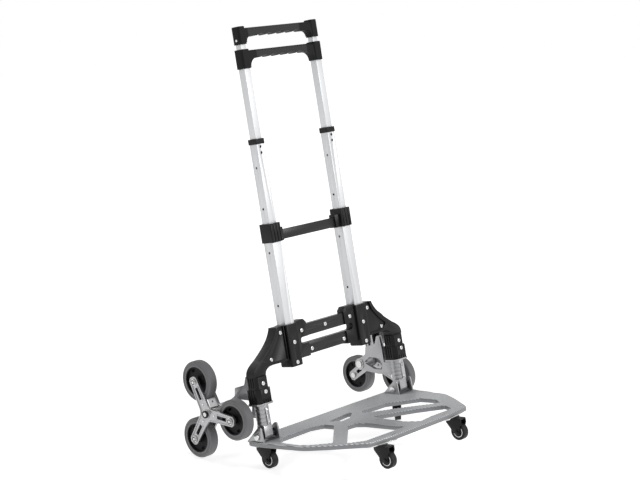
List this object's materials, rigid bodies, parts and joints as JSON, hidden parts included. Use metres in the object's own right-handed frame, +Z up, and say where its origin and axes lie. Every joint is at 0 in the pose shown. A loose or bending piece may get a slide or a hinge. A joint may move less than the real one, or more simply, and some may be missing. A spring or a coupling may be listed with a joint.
{
  "type": "folding luggage trolley",
  "caption": "Folding luggage trolley with telescopic handle, hinged toe plate on swivel casters, and stair-climbing wheel sets at both sides.",
  "frame": {"origin": "on the floor under the middle of the trolley's box", "axes": "+Z up, -Y towards the front edge of the toe plate, +X to the right of someone who faces +Y"},
  "size_m": [0.5946, 0.496, 0.9361],
  "materials": {
    "tube": "satin anodised",
    "casting": "cast and tumbled",
    "deck": "grey with fine anti-slip grooves",
    "black_plastic": "satin",
    "black_metal": "satin powder coat",
    "steel": "bright zinc",
    "grey_tyre": "matte",
    "caster_rubber": "satin"
  },
  "bodies": {
    "frame": {"outer_tubes": "tube", "socket_left": "black_plastic", "socket_right": "black_plastic", "collar_left": "black_plastic", "collar_right": "black_plastic", "leg_left": "casting", "leg_right": "casting", "crossbar_lower": "black_metal", "crossbar_upper": "black_metal", "frame_rivets": "steel", "clamp_left": "black_plastic", "clamp_right": "black_plastic", "clamp_bar": "black_metal"},
    "lower_stage": {"lower_stage_tubes": "tube", "lower_stage_sliders": "black_plastic", "ring_bushes": "black_plastic", "stop_pins": "black_plastic"},
    "middle_stage": {"middle_stage_tubes": "tube", "lower_handle": "black_plastic"},
    "upper_stage": {"upper_stage_tubes": "tube", "upper_handle": "black_plastic"},
    "toe_plate": {"toe_plate": "deck", "hinge_bracket_left": "casting", "hinge_bracket_right": "casting", "hinge_pins": "steel", "caster_plates": "steel", "deck_screws": "steel"},
    "wheel_bracket_left": {"wheel_bracket_left": "casting", "wheel_axle_left": "steel", "bracket_strap_left": "steel"},
    "spider_left": {"spider_outer_left": "casting", "spider_inner_left": "casting", "spider_bolts_left": "steel"},
    "wheel_left_1": {"rim_left_1": "black_plastic", "tyre_left_1": "grey_tyre"},
    "wheel_left_2": {"rim_left_2": "black_plastic", "tyre_left_2": "grey_tyre"},
    "wheel_left_3": {"rim_left_3": "black_plastic", "tyre_left_3": "grey_tyre"},
    "wheel_bracket_right": {"wheel_bracket_right": "casting", "wheel_axle_right": "steel", "bracket_strap_right": "steel"},
    "spider_right": {"spider_outer_right": "casting", "spider_inner_right": "casting", "spider_bolts_right": "steel"},
    "wheel_right_1": {"rim_right_1": "black_plastic", "tyre_right_1": "grey_tyre"},
    "wheel_right_2": {"rim_right_2": "black_plastic", "tyre_right_2": "grey_tyre"},
    "wheel_right_3": {"rim_right_3": "black_plastic", "tyre_right_3": "grey_tyre"},
    "caster_front_left": {"caster_fork_front_left": "black_plastic"},
    "caster_roller_front_left": {"caster_wheel_front_left": "caster_rubber"},
    "caster_front_right": {"caster_fork_front_right": "black_plastic"},
    "caster_roller_front_right": {"caster_wheel_front_right": "caster_rubber"},
    "caster_rear_left": {"caster_fork_rear_left": "black_plastic"},
    "caster_roller_rear_left": {"caster_wheel_rear_left": "caster_rubber"},
    "caster_rear_right": {"caster_fork_rear_right": "black_plastic"},
    "caster_roller_rear_right": {"caster_wheel_rear_right": "caster_rubber"}
  },
  "joints": [
    {"name": "lower_stage_slide", "type": "slide", "parent": "frame", "child": "lower_stage", "axis": [0, 0.2137, 0.9769], "range_m": [-0.17, 0]},
    {"name": "middle_stage_slide", "type": "slide", "parent": "lower_stage", "child": "middle_stage", "axis": [0, 0.2137, 0.9769], "range_m": [-0.15, 0]},
    {"name": "upper_handle_slide", "type": "slide", "parent": "middle_stage", "child": "upper_stage", "axis": [0, 0.2137, 0.9769], "range_m": [-0.01, 0.12]},
    {"name": "toe_plate_fold", "type": "hinge", "parent": "frame", "child": "toe_plate", "pos_m": [0, 0.02959, 0.07619], "axis": [-1, 0, 0], "range_deg": [0, 82]},
    {"name": "bracket_fold_left", "type": "hinge", "parent": "frame", "child": "wheel_bracket_left", "pos_m": [-0.226, 0.02959, 0.07619], "axis": [0, -0.2137, -0.9769], "range_deg": [0, 82]},
    {"name": "spider_turn_left", "type": "hinge", "parent": "wheel_bracket_left", "child": "spider_left", "pos_m": [-0.274, 0.14633, 0.11105], "axis": [1, 0, 0], "continuous": true},
    {"name": "wheel_turn_left_1", "type": "hinge", "parent": "spider_left", "child": "wheel_left_1", "pos_m": [-0.274, 0.07154, 0.11183], "axis": [1, 0, 0], "continuous": true},
    {"name": "wheel_turn_left_2", "type": "hinge", "parent": "spider_left", "child": "wheel_left_2", "pos_m": [-0.274, 0.18441, 0.17543], "axis": [1, 0, 0], "continuous": true},
    {"name": "wheel_turn_left_3", "type": "hinge", "parent": "spider_left", "child": "wheel_left_3", "pos_m": [-0.274, 0.18305, 0.04588], "axis": [1, 0, 0], "continuous": true},
    {"name": "bracket_fold_right", "type": "hinge", "parent": "frame", "child": "wheel_bracket_right", "pos_m": [0.226, 0.02959, 0.07619], "axis": [0, 0.2137, 0.9769], "range_deg": [0, 82]},
    {"name": "spider_turn_right", "type": "hinge", "parent": "wheel_bracket_right", "child": "spider_right", "pos_m": [0.274, 0.14633, 0.11105], "axis": [1, 0, 0], "continuous": true},
    {"name": "wheel_turn_right_1", "type": "hinge", "parent": "spider_right", "child": "wheel_right_1", "pos_m": [0.274, 0.07569, 0.08645], "axis": [1, 0, 0], "continuous": true},
    {"name": "wheel_turn_right_2", "type": "hinge", "parent": "spider_right", "child": "wheel_right_2", "pos_m": [0.274, 0.16035, 0.18452], "axis": [1, 0, 0], "continuous": true},
    {"name": "wheel_turn_right_3", "type": "hinge", "parent": "spider_right", "child": "wheel_right_3", "pos_m": [0.274, 0.20296, 0.06217], "axis": [1, 0, 0], "continuous": true},
    {"name": "swivel_front_left", "type": "hinge", "parent": "toe_plate", "child": "caster_front_left", "pos_m": [-0.122, -0.2081, 0.08859], "axis": [0, 0.1392, 0.9903], "continuous": true},
    {"name": "roll_front_left", "type": "hinge", "parent": "caster_front_left", "child": "caster_roller_front_left", "pos_m": [-0.122, -0.22896, 0.05517], "axis": [1, 0, 0], "continuous": true},
    {"name": "swivel_front_right", "type": "hinge", "parent": "toe_plate", "child": "caster_front_right", "pos_m": [0.122, -0.2081, 0.08859], "axis": [0, 0.1392, 0.9903], "continuous": true},
    {"name": "roll_front_right", "type": "hinge", "parent": "caster_front_right", "child": "caster_roller_front_right", "pos_m": [0.122, -0.22896, 0.05517], "axis": [1, 0, 0], "continuous": true},
    {"name": "swivel_rear_left", "type": "hinge", "parent": "toe_plate", "child": "caster_rear_left", "pos_m": [-0.222, 0.04204, 0.05344], "axis": [0, 0.1392, 0.9903], "continuous": true},
    {"name": "roll_rear_left", "type": "hinge", "parent": "caster_rear_left", "child": "caster_roller_rear_left", "pos_m": [-0.222, 0.02119, 0.02002], "axis": [1, 0, 0], "continuous": true},
    {"name": "swivel_rear_right", "type": "hinge", "parent": "toe_plate", "child": "caster_rear_right", "pos_m": [0.222, 0.04204, 0.05344], "axis": [0, 0.1392, 0.9903], "continuous": true},
    {"name": "roll_rear_right", "type": "hinge", "parent": "caster_rear_right", "child": "caster_roller_rear_right", "pos_m": [0.21069, 0.02583, 0.01936], "axis": [0.7071, -0.7002, 0.0984], "continuous": true}
  ],
  "couplings": [
    {"joint": "bracket_fold_left", "follows": "toe_plate_fold", "ratio": 1},
    {"joint": "bracket_fold_right", "follows": "toe_plate_fold", "ratio": 1}
  ]
}
